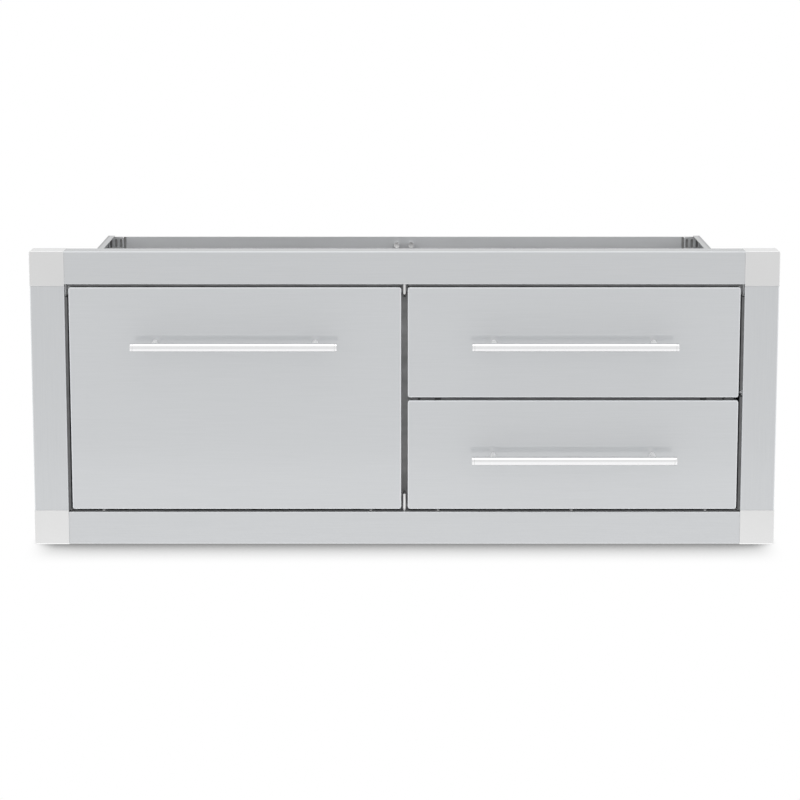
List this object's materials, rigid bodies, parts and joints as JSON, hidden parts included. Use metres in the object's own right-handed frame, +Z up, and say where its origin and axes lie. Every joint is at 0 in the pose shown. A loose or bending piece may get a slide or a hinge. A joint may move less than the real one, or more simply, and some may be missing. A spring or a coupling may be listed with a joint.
{
  "type": "outdoor kitchen drawer unit",
  "caption": "Built-in outdoor kitchen drawer unit in brushed steel: a deep drawer beside two shallow ones in a flat frame, with bar handles and full-extension slides.",
  "frame": {"origin": "under the carcass, midway along its width, in the plane where the frame's rear lips seat on the island's face", "axes": "+X along the width to the viewer's right, +Y from the front to the back, +Z up; the drawers open towards -Y"},
  "size_m": [1.0674, 0.5719, 0.4277],
  "materials": {
    "frame_steel": "fine brushed stainless steel",
    "front_steel": "fine brushed stainless steel, grain along the width",
    "carcass_steel": "mill-finished stainless sheet",
    "box_steel": "mill-finished stainless sheet",
    "corner_cast": "fine satin",
    "polished_bar": "bright polished",
    "bright_zinc": "bright zinc plate",
    "screw_steel": "bright turned steel"
  },
  "bodies": {
    "root": {"back_panel": "carcass_steel", "base_panel": "carcass_steel", "carcass_screws": "screw_steel", "centre_divider": "carcass_steel", "centre_post": "carcass_steel", "corner_bottom_left": "corner_cast", "corner_bottom_right": "corner_cast", "corner_top_left": "corner_cast", "corner_top_right": "corner_cast", "frame_bottom_rail": "frame_steel", "frame_left_rail": "frame_steel", "frame_right_rail": "frame_steel", "frame_screws": "screw_steel", "frame_top_rail": "frame_steel", "left_outer_slides": "bright_zinc", "left_rear_post": "bright_zinc", "left_side_panel": "carcass_steel", "locating_tabs": "corner_cast", "right_bottom_outer_slides": "bright_zinc", "right_rear_post": "bright_zinc", "right_side_panel": "carcass_steel", "right_top_outer_slides": "bright_zinc"},
    "left_drawer": {"left_box_back": "box_steel", "left_box_tray": "box_steel", "left_front": "front_steel", "left_front_liner": "box_steel", "left_handle_bar": "polished_bar", "left_handle_ends": "polished_bar", "left_handle_posts": "polished_bar", "left_inner_slides": "bright_zinc", "left_screws": "screw_steel"},
    "left_middle_slides": {"left_middle_slides": "bright_zinc"},
    "left_outer_cages": {"left_outer_cages": "bright_zinc"},
    "left_inner_cages": {"left_inner_cages": "bright_zinc"},
    "right_top_drawer": {"right_top_box_back": "box_steel", "right_top_box_tray": "box_steel", "right_top_front": "front_steel", "right_top_front_liner": "box_steel", "right_top_handle_bar": "polished_bar", "right_top_handle_ends": "polished_bar", "right_top_handle_posts": "polished_bar", "right_top_inner_slides": "bright_zinc", "right_top_screws": "screw_steel"},
    "right_top_middle_slides": {"right_top_middle_slides": "bright_zinc"},
    "right_top_outer_cages": {"right_top_outer_cages": "bright_zinc"},
    "right_top_inner_cages": {"right_top_inner_cages": "bright_zinc"},
    "right_bottom_drawer": {"right_bottom_box_back": "box_steel", "right_bottom_box_tray": "box_steel", "right_bottom_front": "front_steel", "right_bottom_front_liner": "box_steel", "right_bottom_handle_bar": "polished_bar", "right_bottom_handle_ends": "polished_bar", "right_bottom_handle_posts": "polished_bar", "right_bottom_inner_slides": "bright_zinc", "right_bottom_screws": "screw_steel"},
    "right_bottom_middle_slides": {"right_bottom_middle_slides": "bright_zinc"},
    "right_bottom_outer_cages": {"right_bottom_outer_cages": "bright_zinc"},
    "right_bottom_inner_cages": {"right_bottom_inner_cages": "bright_zinc"}
  },
  "joints": [
    {"name": "left_drawer_slide", "type": "slide", "parent": "root", "child": "left_drawer", "axis": [0, -1, 0], "range_m": [0, 0.457]},
    {"name": "left_middle_slides_slide", "type": "slide", "parent": "root", "child": "left_middle_slides", "axis": [0, -1, 0], "range_m": [0, 0.2285]},
    {"name": "left_outer_cages_slide", "type": "slide", "parent": "root", "child": "left_outer_cages", "axis": [0, -1, 0], "range_m": [0, 0.11425]},
    {"name": "left_inner_cages_slide", "type": "slide", "parent": "root", "child": "left_inner_cages", "axis": [0, -1, 0], "range_m": [0, 0.34275]},
    {"name": "right_top_drawer_slide", "type": "slide", "parent": "root", "child": "right_top_drawer", "axis": [0, -1, 0], "range_m": [0, 0.457]},
    {"name": "right_top_middle_slides_slide", "type": "slide", "parent": "root", "child": "right_top_middle_slides", "axis": [0, -1, 0], "range_m": [0, 0.2285]},
    {"name": "right_top_outer_cages_slide", "type": "slide", "parent": "root", "child": "right_top_outer_cages", "axis": [0, -1, 0], "range_m": [0, 0.11425]},
    {"name": "right_top_inner_cages_slide", "type": "slide", "parent": "root", "child": "right_top_inner_cages", "axis": [0, -1, 0], "range_m": [0, 0.34275]},
    {"name": "right_bottom_drawer_slide", "type": "slide", "parent": "root", "child": "right_bottom_drawer", "axis": [0, -1, 0], "range_m": [0, 0.457]},
    {"name": "right_bottom_middle_slides_slide", "type": "slide", "parent": "root", "child": "right_bottom_middle_slides", "axis": [0, -1, 0], "range_m": [0, 0.2285]},
    {"name": "right_bottom_outer_cages_slide", "type": "slide", "parent": "root", "child": "right_bottom_outer_cages", "axis": [0, -1, 0], "range_m": [0, 0.11425]},
    {"name": "right_bottom_inner_cages_slide", "type": "slide", "parent": "root", "child": "right_bottom_inner_cages", "axis": [0, -1, 0], "range_m": [0, 0.34275]}
  ],
  "couplings": [
    {"joint": "left_middle_slides_slide", "follows": "left_drawer_slide", "ratio": 0.5},
    {"joint": "left_outer_cages_slide", "follows": "left_drawer_slide", "ratio": 0.25},
    {"joint": "left_inner_cages_slide", "follows": "left_drawer_slide", "ratio": 0.75},
    {"joint": "right_top_middle_slides_slide", "follows": "right_top_drawer_slide", "ratio": 0.5},
    {"joint": "right_top_outer_cages_slide", "follows": "right_top_drawer_slide", "ratio": 0.25},
    {"joint": "right_top_inner_cages_slide", "follows": "right_top_drawer_slide", "ratio": 0.75},
    {"joint": "right_bottom_middle_slides_slide", "follows": "right_bottom_drawer_slide", "ratio": 0.5},
    {"joint": "right_bottom_outer_cages_slide", "follows": "right_bottom_drawer_slide", "ratio": 0.25},
    {"joint": "right_bottom_inner_cages_slide", "follows": "right_bottom_drawer_slide", "ratio": 0.75}
  ]
}
